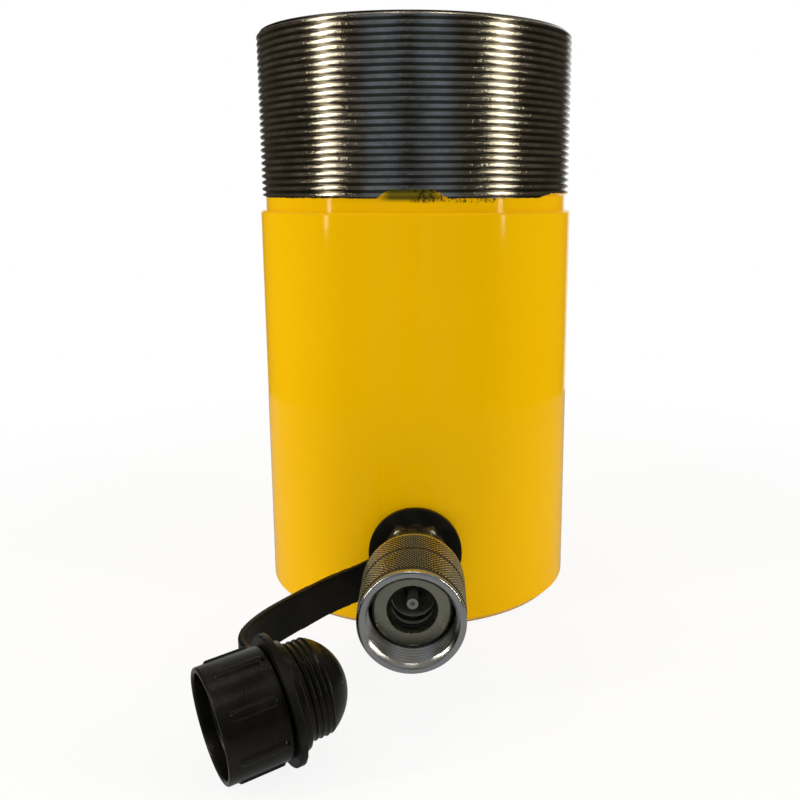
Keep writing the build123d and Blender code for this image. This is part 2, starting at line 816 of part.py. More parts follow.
# Knurled sleeve with the internal thread's bore
knurl_outline = []
for start_l, end_l in ((rear_knurl_l, rear_knurl_end_l), (front_knurl_l, front_knurl_end_l)):
    knurl_outline.append((sleeve_knurl_d / 2, start_l))
    knurl_outline.append((sleeve_knurl_d / 2, end_l))
    knurl_outline.append((sleeve_groove_d / 2, end_l))
    knurl_outline.append((sleeve_groove_d / 2, end_l + sleeve_groove_width))
taper_end_l = rear_knurl_l - sleeve_groove_width - sleeve_groove_slope
lip_end_l = sleeve_rear_l + sleeve_lip_length
relief_end_l = sleeve_end_l - sleeve_mouth_depth - sleeve_thread_length
sleeve_relief_l = relief_end_l - sleeve_relief_length
with BuildPart() as coupler_sleeve:
    revolve(
        section(
            [
                (sleeve_lip_d / 2, sleeve_rear_l),
                (sleeve_rear_d / 2 - sleeve_edge, sleeve_rear_l),
                (sleeve_rear_d / 2, sleeve_rear_l + sleeve_edge),
                (sleeve_smooth_d / 2, taper_end_l),
                (sleeve_smooth_d / 2, rear_knurl_l),
            ]
            + knurl_outline
            + [
                (sleeve_band_d / 2, sleeve_band_l + sleeve_edge),
                (sleeve_band_d / 2, sleeve_end_l - sleeve_edge),
                (sleeve_band_d / 2 - sleeve_edge, sleeve_end_l),
                (sleeve_mouth_d / 2, sleeve_end_l),
                (sleeve_thread_d / 2, sleeve_end_l - sleeve_mouth_depth),
                (sleeve_thread_d / 2, relief_end_l),
                (sleeve_relief_d / 2, relief_end_l),
                (sleeve_relief_d / 2, sleeve_relief_l),
                (sleeve_cavity_d / 2, sleeve_relief_l),
                (sleeve_cavity_d / 2, lip_end_l),
                (sleeve_lip_d / 2, lip_end_l),
            ],
            coupler_base,
        ),
        axis=coupler_axis,
    )
coupler_sleeve.part.label = "coupler_sleeve"


def rib_plane(number):
    """Returns the plane inside the cup's wall from which one rib rises, with its x along the rib."""
    turn = radians(rib_turn + 360 * number / rib_count)
    outward = cap_base.x_dir * cos(turn) + cap_base.y_dir * sin(turn)
    middle = cap_base.origin + cap_base.z_dir * (rib_start + rib_end) / 2
    return Plane(origin=middle + outward * (cup_d - cup_wall) / 2, x_dir=cap_base.z_dir, z_dir=outward)


# Dust cap: a ribbed cup, the groove for the strap's eye, a collar, the plug and its dome
cap_axis = turning_axis(cap_base)
cap_collar_start = eye_offset + eye_thickness / 2 + free_gap
cap_collar_end = cap_collar_start + cap_collar_length
dome_start_r = dome_start_d / 2
dome_height = dome_end - plug_end
dome_radius = (dome_start_r**2 + dome_height**2) / (2 * dome_height)
with BuildPart() as dust_cap:
    with BuildSketch(cut_plane(cap_base)) as cap_half:
        with BuildLine():
            Polyline(
                (0, cup_depth),
                (cup_d / 2 - cup_wall, cup_depth),
                (cup_d / 2 - cup_wall, 0),
                (cup_d / 2 - cup_edge, 0),
                (cup_d / 2, cup_edge),
                (cup_d / 2, cup_length),
                (cap_groove_d / 2, cup_length),
                (cap_groove_d / 2, cap_collar_start),
                (cap_collar_d / 2, cap_collar_start),
                (cap_collar_d / 2, cap_collar_end),
                (plug_d / 2, cap_collar_end),
                (plug_d / 2, plug_end),
                (dome_start_r, plug_end),
            )
            RadiusArc((dome_start_r, plug_end), (0, dome_end), -dome_radius)
            Line((0, dome_end), (0, cup_depth))
        make_face()
    revolve(axis=cap_axis)
    for number in range(rib_count):
        with BuildSketch(rib_plane(number)) as rib:
            SlotOverall(rib_end - rib_start, rib_width)
        extrude(amount=rib_height + cup_wall / 2)
dust_cap.part.label = "dust_cap"


def strap_plane(origin, station):
    """Returns the strap's cross section plane at a station, with its width along the plane's x."""
    place, heading, slope = station
    fall = radians(slope)
    way = Vector(cos(radians(heading)) * cos(fall), sin(radians(heading)) * cos(fall), -sin(fall))
    upright = Vector(0, 0, 1) - way * way.Z
    return Plane(origin=origin + Vector(*place), x_dir=upright, z_dir=way)


# Strap: the large eye round the stem, the curved band and the small eye in the cap's groove
with BuildPart() as dust_cap_strap:
    with BuildSketch(along(coupler_base, ring_l - ring_thickness / 2)) as large_eye:
        Circle(ring_d / 2)
    extrude(amount=ring_thickness)
    band_planes = [strap_plane(ring_middle, station) for station in first_stations]
    band_planes += [strap_plane(eye_middle, station) for station in last_stations]
    for band_plane in band_planes:
        with BuildSketch(band_plane):
            Rectangle(strap_width, strap_thickness)
    loft()
    with BuildSketch(along(cap_base, eye_offset - eye_thickness / 2)) as small_eye:
        Circle(eye_d / 2)
    extrude(amount=eye_thickness)
    with BuildSketch(along(cap_base, eye_offset - eye_thickness)) as groove_hole:
        Circle(cap_groove_d / 2 + free_gap)
    extrude(amount=2 * eye_thickness, mode=Mode.SUBTRACT)
    with BuildSketch(along(coupler_base, ring_l - ring_thickness)) as stem_hole:
        Circle(stem_d / 2 + free_gap)
    extrude(amount=2 * ring_thickness, mode=Mode.SUBTRACT)
    tie_hole_place = Vector(-cos(radians(strap_slope)), -sin(radians(strap_slope))) * strap_hole_reach
    with BuildSketch(along(coupler_base, ring_l - 2 * ring_thickness)) as tie_hole:
        with Locations((tie_hole_place.X, tie_hole_place.Y)):
            Circle(strap_hole_d / 2)
    extrude(amount=4 * ring_thickness, mode=Mode.SUBTRACT)
dust_cap_strap.part.label = "dust_cap_strap"

pieces = [
    cylinder_body.part,
    stop_ring.part,
    guide_bearing.part,
    rod_wiper.part,
    plunger.part,
    piston_wear_ring.part,
    piston_u_cup.part,
    piston_backup_ring.part,
    saddle.part,
    saddle_retaining_ring.part,
    return_spring.part,
    lower_spring_anchor.part,
    lower_anchor_screw,
    upper_spring_anchor.part,
    upper_anchor_screw,
    coupler_adapter.part,
    coupler_body.part,
    coupler_o_ring.part,
    coupler_backup_ring.part,
    coupler_poppet.part,
    poppet_spring.part,
    coupler_sleeve.part,
    dust_cap.part,
    dust_cap_strap.part,
]
for piece in pieces:
    export_step(piece, f"parts/{piece.label}.step")
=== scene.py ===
from math import cos, hypot, pi, radians, sin, sqrt

import bmesh
import bpy
import numpy as np
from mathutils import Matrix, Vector


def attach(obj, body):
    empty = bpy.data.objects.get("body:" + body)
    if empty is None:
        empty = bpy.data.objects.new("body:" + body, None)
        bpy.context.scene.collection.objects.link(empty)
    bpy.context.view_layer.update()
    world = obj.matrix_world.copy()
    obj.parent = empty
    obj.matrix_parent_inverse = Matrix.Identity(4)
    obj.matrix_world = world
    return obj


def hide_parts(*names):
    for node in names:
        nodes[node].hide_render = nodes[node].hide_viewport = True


# A collar thread hydraulic cylinder. Sizes are written in millimetres and turned into metres by MM.
# Places along the coupler are distances from the cylinder's axis, as in the model, and places along
# the dust cap start at its open mouth.
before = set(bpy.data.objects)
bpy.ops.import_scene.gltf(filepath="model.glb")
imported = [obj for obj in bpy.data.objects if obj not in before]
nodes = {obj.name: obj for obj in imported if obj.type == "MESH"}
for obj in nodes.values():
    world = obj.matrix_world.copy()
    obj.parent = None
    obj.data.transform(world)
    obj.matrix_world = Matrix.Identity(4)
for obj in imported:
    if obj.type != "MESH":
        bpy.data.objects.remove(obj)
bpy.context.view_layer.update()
MM = 0.001

# Barrel
shoulder_z = 157.3
neck_r = 61.3
thread_start_z = 162.4
rim_z = 225.0
rim_edge = 1.3
collar_crest_r = 62.75
collar_pitch = 2.5
collar_columns = 360

# Coupler
port_z = 32.0
sleeve_columns = 384
sleeve_r = 17.5
knurl_r = 17.8
knurl_depth = 0.42
knurl_root_r = 17.38
rear_knurl = 92.4, 104.6
front_knurl = 106.0, 120.9
socket_pitch = 1.8
socket_start = 100.8
socket_end = 123.1
socket_crest_r = 14.3
socket_root_r = 15.2

# Dust cap
cap_heading = 29.1
cap_rise = 6.9
eye_middle = Vector((-38.4, -147.4, 19.76))
eye_offset = 20.9
cap_columns = 432
rib_count = 8
rib_turn = 12.0
cup_inner_r = 15.3
cup_outer_r = 17.0
plug_root_r = 14.2
cap_pitch = 1.8
cup_thread = 4.0, 15.0
plug_thread = 25.4, 33.0


# Turned meshes


def smoothstep(value, valley_shade, high):
    """Returns 0 below low, 1 above high and a smooth ramp between them."""
    t = np.clip((value - valley_shade) / (high - valley_shade), 0.0, 1.0)
    return t * t * (3 - 2 * t)


def plain(points, columns):
    """Returns radius and place grids for a surface that is the same all round."""
    r, s = np.array(points, float).T
    ones = np.ones((1, columns + 1))
    return r[:, None] * ones, s[:, None] * ones


def helix(start, end, pitch, columns, phases, radius_at):
    """Returns radius and place grids for a thread, whose rows climb with it. phases are parts of a pitch."""
    turns = int((end - start) / pitch) + 2
    climb = np.arange(columns + 1)[None, :] / columns
    rows = np.array([turn + phase for turn in range(-1, turns) for phase in phases])[:, None]
    phase = np.array([phase for _ in range(-1, turns) for phase in phases])[:, None] + 0 * climb
    place = np.clip(start + pitch * (rows + climb), start, end)
    return radius_at(phase, place, 2 * pi * climb + 0 * place), place


def turned(name, grids, origin, axis, x_dir, crossed=()):
    """Makes one closed mesh from grids of radius and place round an axis.

    The grids whose numbers are in crossed get diamond triangles.
    """
    across = axis.cross(x_dir)
    points, faces, first = [], [], 0
    for number, (radius, place) in enumerate(grids):
        rows, columns = radius.shape
        angle = 2 * pi * np.arange(columns) / (columns - 1)
        wheel = np.outer(np.cos(angle), x_dir) + np.outer(np.sin(angle), across)
        block = np.array(origin) + radius[..., None] * wheel[None] + place[..., None] * np.array(axis)
        points.append(block.reshape(-1, 3))
        for j in range(rows - 1):
            for i in range(columns - 1):
                a = first + j * columns + i
                b, c, d = a + 1, a + columns + 1, a + columns
                if number not in crossed:
                    faces.append((a, b, c, d))
                elif (i + j) % 2:
                    faces += [(a, b, d), (b, c, d)]
                else:
                    faces += [(a, b, c), (a, c, d)]
        first += rows * columns
    mesh = bpy.data.meshes.new(name)
    mesh.from_pydata((np.concatenate(points) * MM).tolist(), [], faces)
    return finished(name, mesh)


def finished(name, mesh, sharp_angle=35.0):
    """Welds a mesh, turns its faces outward, shades it and puts its object in the scene."""
    work = bmesh.new()
    work.from_mesh(mesh)
    bmesh.ops.remove_doubles(work, verts=work.verts, dist=2e-7)
    bmesh.ops.dissolve_degenerate(work, edges=work.edges, dist=1e-8)
    bmesh.ops.recalc_face_normals(work, faces=work.faces)
    for face in work.faces:
        face.smooth = True
    work.to_mesh(mesh)
    work.free()
    if "custom_normal" in mesh.attributes:
        mesh.attributes.remove(mesh.attributes["custom_normal"])
    mesh.set_sharp_from_angle(angle=radians(sharp_angle))
    piece = bpy.data.objects.new(name, mesh)
    bpy.context.scene.collection.objects.link(piece)
    return piece


def stands_for(piece, node, body):
    """Puts a piece in a node's stead."""
    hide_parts(node)
    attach(piece, body)


UP = Vector((0, 0, 1))
RIGHT = Vector((1, 0, 0))
COUPLER_AXIS = Vector((0, -1, 0))
CAP_AXIS = Vector(
    (
        cos(radians(cap_rise)) * cos(radians(cap_heading)),
        cos(radians(cap_rise)) * sin(radians(cap_heading)),
        sin(radians(cap_rise)),
    )
)
CAP_SIDE = UP.cross(CAP_AXIS).normalized()
coupler_origin = Vector((0, 0, port_z))
cap_origin = eye_middle - CAP_AXIS * eye_offset

# Barrel: the model's own body below the collar, with the collar's thread cut in full

# One turn of the thread's profile, as (part of a pitch, part of the depth)
COLLAR_PROFILE = (
    (0.0, 0.0),
    (0.05, 0.0),
    (0.1, 0.05),
    (0.29, 0.76),
    (0.35, 0.9),
    (0.42, 0.975),
    (0.5, 1.0),
    (0.58, 0.975),
    (0.65, 0.9),
    (0.71, 0.76),
    (0.9, 0.05),
    (0.95, 0.0),
    (1.0, 0.0),
)
collar_wear = 0.03


def collar_radius(phase, place, angle):
    """The collar's thread: a narrow root, 60 degree flanks and a worn, rounded crest."""
    height = np.interp(phase, *np.array(COLLAR_PROFILE).T)
    wear = 0.5 + 0.5 * np.sin(angle * 137 + place * 5.1) * np.sin(angle * 61 - place * 3.3)
    run_in = smoothstep(place, thread_start_z, thread_start_z + 0.9)
    radius = neck_r + (collar_crest_r - neck_r) * height * run_in - collar_wear * wear * (height > 0.9)
    rim_r = collar_crest_r - rim_edge
    run_out = smoothstep(-place, -rim_z, -rim_z + 0.3)
    radius = np.minimum(radius, rim_r + rim_z - place)
    return rim_r + (radius - rim_r) * run_out


def loop_at(work, z, radius):
    """Returns the boundary edges on the circle of that radius at that height."""

    def on_circle(vert):
        off_r = abs(hypot(vert.co.x, vert.co.y) - radius * MM)
        return abs(vert.co.z - z * MM) < 1e-5 and off_r < 2e-4

    return [edge for edge in work.edges if edge.is_boundary and all(on_circle(vert) for vert in edge.verts)]


def make_barrel():
    """Takes the collar's plain faces off a copy of the barrel, and bridges the cut thread in."""
    phases = [phase for phase, _ in COLLAR_PROFILE[:-1]]
    collar = turned(
        "collar_thread_cut",
        [
            plain([(neck_r, shoulder_z), (neck_r, shoulder_z + 2), (neck_r, thread_start_z)], collar_columns),
            helix(thread_start_z, rim_z, collar_pitch, collar_columns, phases, collar_radius),
        ],
        Vector((0, 0, 0)),
        UP,
        COUPLER_AXIS,
    )
    mesh = nodes["cylinder_body"].data.copy()
    work = bmesh.new()
    work.from_mesh(mesh)
    bmesh.ops.remove_doubles(work, verts=work.verts, dist=2e-6)
    old = []
    for face in work.faces:
        middle = face.calc_center_median()
        if shoulder_z + 0.01 < middle.z / MM < rim_z - 0.01 and hypot(middle.x, middle.y) > (neck_r - 1) * MM:
            old.append(face)
    bmesh.ops.delete(work, geom=old, context="FACES")
    work.from_mesh(collar.data)
    for z, radius in ((shoulder_z, neck_r), (rim_z, collar_crest_r - rim_edge)):
        bmesh.ops.bridge_loops(work, edges=loop_at(work, z, radius))
    work.to_mesh(mesh)
    work.free()
    bpy.data.objects.remove(collar)
    barrel = finished("threaded_barrel", mesh, 40.0)
    stands_for(barrel, "cylinder_body", "barrel")
    return barrel


# Coupler sleeve: knurl outside, thread inside


def knurl(start, end, base_r, depth, columns):
    """Returns grids for a diamond knurl between two places, with crossing grooves."""
    step = 2 * pi * base_r / columns * 1.6
    rows = max(8, round((end - start) / step))
    i = np.arange(columns + 1)[None, :]
    j = np.arange(rows + 1)[:, None]
    one_way = np.abs((i + j + 2) % 4 - 2)
    other_way = np.abs((i - j + 2) % 4 - 2)
    height = np.minimum(one_way, other_way) / 2
    radius = base_r - depth * (1 - height)
    place = start + (end - start) * j / rows + 0.0 * i
    edge = np.minimum(place - start, end - place)
    return np.minimum(radius, base_r - depth + edge * 1.2), place


def socket_radius(phase, place, angle):
    """The sleeve's inner thread: crest at the bore, root in the wall."""
    up = np.clip((phase - 0.12) / 0.34, 0, 1)
    down = np.clip((1 - phase) / 0.34, 0, 1)
    height = np.minimum(up, down)
    ends = smoothstep(place, socket_start, 101.4) * smoothstep(-place, -socket_end, -122.3)
    return socket_crest_r + (socket_root_r - socket_crest_r) * height * ends


def make_sleeve():
    """The knurled sleeve that turns on the coupler."""
    columns = sleeve_columns
    phases = (0.0, 0.12, 0.29, 0.46, 0.66, 0.83)
    thread_r, thread_s = helix(socket_start, socket_end, socket_pitch, columns, phases, socket_radius)
    grids = [
        plain([(11.8, 83.6), (11.8, 76.5), (12.1, 76.2), (13.3, 76.2), (13.7, 76.6), (16.7, 89.6)], columns),
        plain([(16.7, 89.6), (17.1, 90.7), (17.3, 91.3), (17.3, 92.1), (17.1, 92.35), (17.1, 92.4)], columns),
        plain([(17.1, 92.4), (knurl_root_r, 92.4)], columns),
        knurl(*rear_knurl, knurl_r, knurl_depth, columns),
        plain([(knurl_root_r, 104.6), (17.15, 104.65), (17.15, 104.8), (17.22, 105.2)], columns),
        plain([(17.22, 105.2), (knurl_root_r, 106.0)], columns),
        knurl(*front_knurl, knurl_r, knurl_depth, columns),
        plain([(knurl_root_r, 120.9), (17.1, 120.95), (17.1, 121.1), (17.2, 121.6)], columns),
        plain([(17.2, 121.6), (sleeve_r, 122.6), (sleeve_r, 123.6), (17.35, 124.0)], columns),
        plain([(17.35, 124.0), (17.0, 124.28), (16.7, 124.3), (15.55, 124.3)], columns),
        plain([(15.55, 124.3), (15.3, 124.15), (socket_crest_r, socket_end)], columns),
        (thread_r[::-1], thread_s[::-1]),
        plain([(socket_crest_r, socket_start), (15.4, socket_start), (15.4, 98.6), (13.5, 98.6)], columns),
        plain([(13.5, 98.6), (13.5, 83.6), (11.8, 83.6)], columns),
    ]
    knurls = (3, 6)
    sleeve = turned("knurled_sleeve", grids, coupler_origin, COUPLER_AXIS, RIGHT, crossed=knurls)
    stands_for(sleeve, "coupler_sleeve", "sleeve")
    return sleeve


# Dust cap: ribs on the cup, threads inside the cup and round the plug, and a dome


def rib_rise(angle, place):
    """The height of the cup's rounded bars at an angle and place."""
    rib_start, rib_end, rib_half, rib_height = 3.4, 17.6, 1.5, 0.7
    spacing = 2 * pi / rib_count
    turn = (angle - radians(rib_turn) + spacing / 2) % spacing - spacing / 2
    beyond = np.maximum(np.maximum(rib_start + rib_half - place, place - rib_end + rib_half), 0)
    away = np.sqrt((turn * 17) ** 2 + beyond**2)
    return rib_height * (1 - smoothstep(away, rib_half - 0.75, rib_half + 0.15))


def cup_wall(start, end, radius, columns):
    """Returns grids for the cup's outside with its ribs."""
    rows = round((end - start) / 0.28)
    angle = 2 * pi * np.arange(columns + 1)[None, :] / columns
    place = start + (end - start) * np.arange(rows + 1)[:, None] / rows + 0 * angle
    ends = smoothstep(place, start, start + 0.5) * smoothstep(-place, -end, -end + 0.5)
    return radius + rib_rise(angle, place) * ends, place


def ridge(root_r, crest_r, start, end):
    """Returns a function for a rounded moulded thread that fades at both ends."""

    def radius_at(phase, place, angle):
        height = 0.5 - 0.5 * np.cos(2 * pi * phase)
        ends = smoothstep(place, start, start + 1.0) * smoothstep(-place, -end, -end + 0.6)
        return root_r + (crest_r - root_r) * height**1.4 * ends

    return radius_at


def arc(middle, radius, start_angle, end_angle, count):
    """Returns points on an arc in the section, as (radius, place)."""
    points = []
    for number in range(count + 1):
        angle = radians(start_angle + (end_angle - start_angle) * number / count)
        points.append((middle[0] + radius * cos(angle), middle[1] + radius * sin(angle)))
    return points


def make_dust_cap():
    """The ribbed dust cap with its threaded plug."""
    columns = cap_columns
    phases = [number / 12 for number in range(12)]
    inner_r, inner_s = helix(*cup_thread, cap_pitch, columns, phases, ridge(cup_inner_r, 14.75, *cup_thread))
    dome_start_r, plug_end, dome_end = 14.0, 33.4, 41.4
    dome_height = dome_end - plug_end
    dome_radius = (dome_start_r**2 + dome_height**2) / (2 * dome_height)
    dome = []
    for number in range(25):
        r = dome_start_r * cos(pi / 2 * number / 24)
        dome.append((max(r, 0.0), dome_end - dome_radius + sqrt(dome_radius**2 - r * r)))
    grids = [
        plain([(0, 17.2), (14.6, 17.2), (15.1, 17.05), (cup_inner_r, 16.6), (cup_inner_r, 15.0)], columns),
        (inner_r[::-1], inner_s[::-1]),
        plain([(cup_inner_r, 4.0)] + arc((16.1, 1.0), 0.8, 180, 270, 5) + [(16.3, 0.2)], columns),
        plain(arc((16.3, 0.9), 0.7, 270, 360, 5), columns),
        cup_wall(0.9, 18.7, cup_outer_r, columns),
        plain(arc((16.5, 18.7), 0.5, 0, 90, 4) + [(12.5, 19.2), (12.5, 22.4), (16.0, 22.4)], columns),
        plain(arc((16.0, 22.8), 0.4, 270, 360, 4) + arc((16.0, 24.6), 0.4, 0, 90, 4), columns),
        plain([(16.0, 25.0), (14.5, 25.0), (14.3, 25.15), (plug_root_r, 25.4)], columns),
        helix(*plug_thread, cap_pitch, columns, phases, ridge(plug_root_r, 14.73, *plug_thread)),
        plain([(plug_root_r, 33.0), (14.15, 33.25)] + dome, columns),
    ]
    cap = turned("ribbed_dust_cap", grids, cap_origin, CAP_AXIS, CAP_SIDE)
    stands_for(cap, "dust_cap", "cap")
    return cap


# Strap: the model's shape with the soft edges of a moulding


def make_strap():
    """Rounds the strap's edges and fills its inner corners, as its mould does."""
    source = nodes["dust_cap_strap"]
    copy = bpy.data.objects.new("moulding", source.data.copy())
    bpy.context.scene.collection.objects.link(copy)
    remesh = copy.modifiers.new("remesh", "REMESH")
    remesh.mode = "VOXEL"
    remesh.voxel_size = 0.42 * MM
    soften = copy.modifiers.new("soften", "LAPLACIANSMOOTH")
    soften.iterations = 3
    soften.lambda_factor = 0.6
    bpy.context.view_layer.update()
    mesh = bpy.data.meshes.new_from_object(copy.evaluated_get(bpy.context.evaluated_depsgraph_get()))
    mesh.name = "moulded_strap"
    bpy.data.objects.remove(copy)
    strap = finished("moulded_strap", mesh, 60.0)
    stands_for(strap, "dust_cap_strap", "strap")
    return strap


def soften_edges(node, width):
    """Gives a model node the small edge breaks of a real piece."""
    piece = nodes[node]
    weld = piece.modifiers.new("weld", "WELD")
    weld.merge_threshold = 2e-6
    edge = piece.modifiers.new("edge", "BEVEL")
    edge.limit_method = "ANGLE"
    edge.angle_limit = radians(32)
    edge.width = width * MM
    edge.segments = 2
    edge.harden_normals = True


# Materials


def wired(tree, kind, *values, **settings):
    """Adds a node with these settings, and links or sets its first inputs."""
    made = tree.nodes.new(kind)
    for name, value in settings.items():
        setattr(made, name, value)
    for socket, value in zip(made.inputs, values):
        if isinstance(value, bpy.types.NodeSocket):
            tree.links.new(value, socket)
        else:
            socket.default_value = value
    return made


class Finish:
    """A material and the nodes that feed its shader. Places are in metres, in the part's frame."""

    def __init__(self, name):
        self.material = bpy.data.materials.new(name)
        self.material.use_nodes = True
        self.tree = self.material.node_tree
        self.shader = self.tree.nodes["Principled BSDF"]
        self.place = self.node("ShaderNodeTexCoord").outputs["Object"]

    def node(self, kind, *values, **settings):
        return wired(self.tree, kind, *values, **settings)

    def feed(self, socket, value):
        """Links a socket, or sets its value."""
        if isinstance(value, bpy.types.NodeSocket):
            self.tree.links.new(value, socket)
        else:
            socket.default_value = value

    def math(self, operation, first, second=0.0, third=0.0):
        return self.node("ShaderNodeMath", first, second, third, operation=operation).outputs[0]

    def stretched(self, scale):
        made = self.node("ShaderNodeMapping", self.place)
        made.inputs["Scale"].default_value = scale
        return made.outputs[0]

    def noise(self, size, detail=3.0, rough=0.55, stretch=(1, 1, 1)):
        """Returns noise from 0 to 1 whose features are about size millimetres."""
        made = self.node("ShaderNodeTexNoise", self.stretched([part / (size * MM) for part in stretch]))
        made.inputs["Scale"].default_value = 1.0
        made.inputs["Detail"].default_value = detail
        made.inputs["Roughness"].default_value = rough
        return made.outputs["Fac"]

    def rings(self, value, width):
        """Returns noise that varies with one value alone, in bands of about width millimetres."""
        scaled = self.math("MULTIPLY", value, 1 / (width * MM))
        made = self.node("ShaderNodeTexNoise", noise_dimensions="1D")
        self.feed(made.inputs["W"], scaled)
        made.inputs["Scale"].default_value = 1.0
        made.inputs["Detail"].default_value = 3.0
        return made.outputs["Fac"]

    def cells(self, size):
        """Returns the distance to the nearest of scattered points, size millimetres apart."""
        made = self.node("ShaderNodeTexVoronoi", self.stretched([1 / (size * MM)] * 3))
        made.inputs["Scale"].default_value = 1.0
        return made.outputs["Distance"]

    def ramp(self, value, valley_shade, high, start=0.0, end=1.0):
        """Maps low..high smoothly to start..end."""
        settings = {"interpolation_type": "SMOOTHSTEP"}
        return self.node("ShaderNodeMapRange", value, valley_shade, high, start, end, **settings).outputs[0]

    def blend(self, factor, first, second):
        """Mixes two colours, each a socket or three numbers."""
        made = self.node("ShaderNodeMix", data_type="RGBA")
        self.feed(made.inputs[0], factor)
        for socket, value in zip(made.inputs[6:8], (first, second)):
            self.feed(socket, value if isinstance(value, bpy.types.NodeSocket) else (*value, 1.0))
        return made.outputs[2]

    def blend_value(self, factor, first, second):
        """Mixes two numbers."""
        made = self.node("ShaderNodeMix", data_type="FLOAT")
        for number, value in ((0, factor), (2, first), (3, second)):
            self.feed(made.inputs[number], value)
        return made.outputs[0]

    def axis(self, name):
        return self.node("ShaderNodeSeparateXYZ", self.place).outputs[name]

    def from_axis(self, origin, axis):
        """Returns the distance from a line, and the place along it, in metres."""

        def vector_math(operation, *values):
            return self.node("ShaderNodeVectorMath", *values, operation=operation).outputs

        shift = vector_math("SUBTRACT", self.place, [part * MM for part in origin])[0]
        along = vector_math("DOT_PRODUCT", shift, axis)["Value"]
        foot = self.node("ShaderNodeVectorMath", axis, operation="SCALE")
        self.feed(foot.inputs["Scale"], along)
        across = vector_math("SUBTRACT", shift, foot.outputs[0])[0]
        return vector_math("LENGTH", across)["Value"], along

    def bump(self, height, distance):
        """Raises the surface by height times distance millimetres."""
        made = self.node("ShaderNodeBump")
        self.feed(made.inputs["Height"], height)
        made.inputs["Distance"].default_value = distance * MM
        made.inputs["Strength"].default_value = 1.0
        normal = self.shader.inputs["Normal"]
        if normal.is_linked:
            self.feed(made.inputs["Normal"], normal.links[0].from_socket)
        self.feed(normal, made.outputs[0])

    def set(self, **values):
        """Feeds the shader's inputs, named in small letters."""
        for name, value in values.items():
            socket = self.shader.inputs[name.replace("_", " ").title().replace("Ior", "IOR")]
            if not isinstance(value, (bpy.types.NodeSocket, float, int)):
                value = (*value, 1.0)
            self.feed(socket, value)


def put_on(finish, *pieces):
    """Gives the pieces a material."""
    for piece in pieces:
        piece.data.materials.clear()
        piece.data.materials.append(finish.material)


